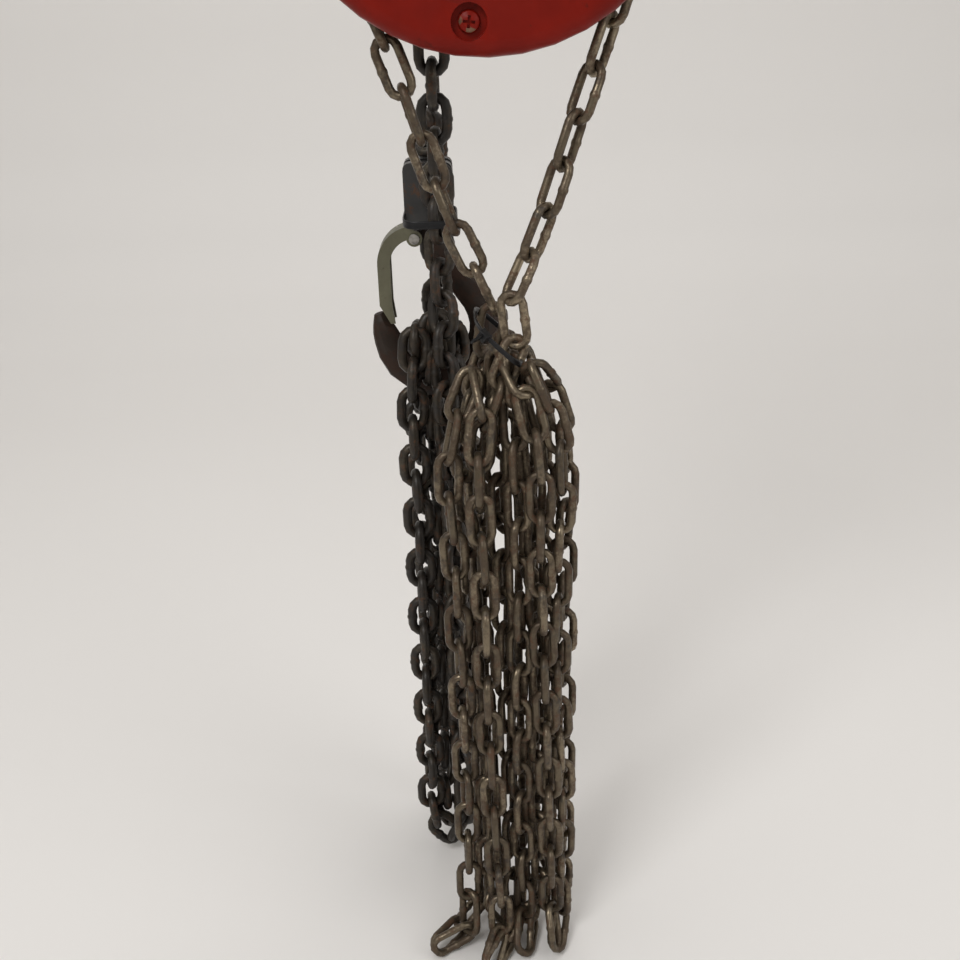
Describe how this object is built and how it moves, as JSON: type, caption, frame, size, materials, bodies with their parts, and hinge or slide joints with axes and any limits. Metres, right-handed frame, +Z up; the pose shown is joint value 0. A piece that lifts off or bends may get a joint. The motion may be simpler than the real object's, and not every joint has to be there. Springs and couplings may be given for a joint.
{
  "type": "chain hoist",
  "caption": "Hand chain hoist with top and load hooks, geared chain block under round covers, and its hand chain and load chain gathered and tied.",
  "frame": {"origin": "the point inside the top hook's bowl that bears on whatever the hoist hangs from", "axes": "+Z up, the hoist hanging; the hand wheel's axis along Y, with its cover facing -Y; +X to the right as the cover is faced"},
  "size_m": [0.216, 0.21, 0.8958],
  "materials": {
    "red_paint": "gloss",
    "dark_frame": "satin",
    "machined_steel": "satin",
    "cast_wheel": "matte",
    "friction_lining": "matte",
    "hook_forging": "matte",
    "latch_plate": "satin",
    "hand_chain": "satin",
    "load_chain": "satin",
    "gathered_hand_chain": "satin",
    "gathered_load_chain": "satin",
    "black_nylon": "satin"
  },
  "bodies": {
    "top_hook": {"top_hook": "hook_forging", "top_latch_pin": "machined_steel", "top_latch_spring": "machined_steel"},
    "top_latch": {"top_latch": "latch_plate"},
    "top_yoke": {"top_yoke": "dark_frame"},
    "hand_wheel": {"hand_wheel": "cast_wheel", "drive_shaft": "machined_steel", "friction_hub": "cast_wheel", "rear_friction_disc": "friction_lining", "front_friction_disc": "friction_lining", "shaft_nut": "machined_steel"},
    "load_sheave": {"load_sheave": "cast_wheel", "load_gear": "machined_steel"},
    "left_intermediate_gear": {"left_intermediate_gear": "machined_steel"},
    "right_intermediate_gear": {"right_intermediate_gear": "machined_steel"},
    "left_guide_roller": {"left_guide_roller": "machined_steel"},
    "right_guide_roller": {"right_guide_roller": "machined_steel"},
    "left_pawl": {"left_pawl": "machined_steel"},
    "right_pawl": {"right_pawl": "machined_steel"},
    "load_hook": {"load_hook": "hook_forging", "load_latch_pin": "machined_steel", "load_latch_spring": "machined_steel"},
    "load_latch": {"load_latch": "latch_plate"},
    "hoist_frame": {"hand_wheel_cover": "red_paint", "gear_cover": "red_paint", "cover_screw_1": "red_paint", "cover_screw_2": "red_paint", "cover_screw_3": "red_paint", "front_side_plate": "dark_frame", "rear_side_plate": "dark_frame", "gear_support_plate": "dark_frame", "load_yoke": "dark_frame", "top_pin": "machined_steel", "left_stay": "machined_steel", "right_stay": "machined_steel", "bottom_stay": "machined_steel", "front_sheave_bearing": "machined_steel", "rear_sheave_bearing": "machined_steel", "gear_cover_screw_1": "machined_steel", "gear_cover_screw_2": "machined_steel", "gear_cover_screw_3": "machined_steel", "dead_end_pin": "machined_steel", "ratchet_disc": "machined_steel", "left_roller_pin": "machined_steel", "right_roller_pin": "machined_steel", "left_pawl_pin": "machined_steel", "right_pawl_pin": "machined_steel", "left_pawl_spring": "machined_steel", "right_pawl_spring": "machined_steel", "load_chain_pin": "machined_steel", "chain_stripper": "cast_wheel", "hand_chain_left_run": "hand_chain", "hand_chain_right_run": "hand_chain", "load_chain_run": "load_chain", "load_chain_end": "load_chain", "hand_chain_hank": "gathered_hand_chain", "load_chain_hank": "gathered_load_chain", "hand_chain_tie": "black_nylon", "yoke_tie": "black_nylon"}
  },
  "joints": [
    {"name": "top_latch_open", "type": "hinge", "parent": "top_hook", "child": "top_latch", "pos_m": [-0.011, 0, -0.056], "axis": [0, 1, 0], "range_deg": [0, 30], "stiffness_Nm_per_rad": 0.05, "springref_deg": -34.38, "deforming": ["top_latch_spring"]},
    {"name": "top_hook_swivel", "type": "hinge", "parent": "top_hook", "child": "top_yoke", "pos_m": [0, 0, -0.075], "axis": [0, 0, 1], "continuous": true},
    {"name": "hoist_swing", "type": "hinge", "parent": "top_yoke", "child": "hoist_frame", "pos_m": [0, 0, -0.1], "axis": [0, 1, 0], "range_deg": [-20, 20]},
    {"name": "hand_wheel_spin", "type": "hinge", "parent": "hoist_frame", "child": "hand_wheel", "pos_m": [0, -0.056, -0.19], "axis": [0, 1, 0], "continuous": true},
    {"name": "left_intermediate_spin", "type": "hinge", "parent": "hoist_frame", "child": "left_intermediate_gear", "pos_m": [-0.042, 0.038, -0.19], "axis": [0, 1, 0], "continuous": true},
    {"name": "right_intermediate_spin", "type": "hinge", "parent": "hoist_frame", "child": "right_intermediate_gear", "pos_m": [0.042, 0.038, -0.19], "axis": [0, 1, 0], "continuous": true},
    {"name": "load_sheave_spin", "type": "hinge", "parent": "hoist_frame", "child": "load_sheave", "pos_m": [0, 0, -0.19], "axis": [0, 1, 0], "continuous": true},
    {"name": "left_roller_spin", "type": "hinge", "parent": "hoist_frame", "child": "left_guide_roller", "pos_m": [-0.0494, 0, -0.232], "axis": [0, 1, 0], "continuous": true},
    {"name": "right_roller_spin", "type": "hinge", "parent": "hoist_frame", "child": "right_guide_roller", "pos_m": [0.0494, 0, -0.232], "axis": [0, 1, 0], "continuous": true},
    {"name": "left_pawl_lift", "type": "hinge", "parent": "hoist_frame", "child": "left_pawl", "pos_m": [-0.0385, -0.037, -0.16], "axis": [0, 1, 0], "range_deg": [0, 15], "stiffness_Nm_per_rad": 0.05, "springref_deg": -28.65, "deforming": ["left_pawl_spring"]},
    {"name": "right_pawl_lift", "type": "hinge", "parent": "hoist_frame", "child": "right_pawl", "pos_m": [0.0385, -0.037, -0.22], "axis": [0, 1, 0], "range_deg": [0, 15], "stiffness_Nm_per_rad": 0.05, "springref_deg": -28.65, "deforming": ["right_pawl_spring"]},
    {"name": "load_hook_swivel", "type": "hinge", "parent": "hoist_frame", "child": "load_hook", "pos_m": [-0.037, 0.024, -0.395], "axis": [0, 0, 1], "range_deg": [-4, 4]},
    {"name": "load_latch_open", "type": "hinge", "parent": "load_hook", "child": "load_latch", "pos_m": [-0.047, 0.024, -0.41], "axis": [0, -1, 0], "range_deg": [0, 20], "stiffness_Nm_per_rad": 0.05, "springref_deg": -34.38, "deforming": ["load_latch_spring"]}
  ],
  "couplings": [
    {"joint": "left_intermediate_spin", "follows": "hand_wheel_spin", "ratio": -0.33333},
    {"joint": "right_intermediate_spin", "follows": "hand_wheel_spin", "ratio": -0.33333},
    {"joint": "load_sheave_spin", "follows": "hand_wheel_spin", "ratio": 0.11111}
  ]
}
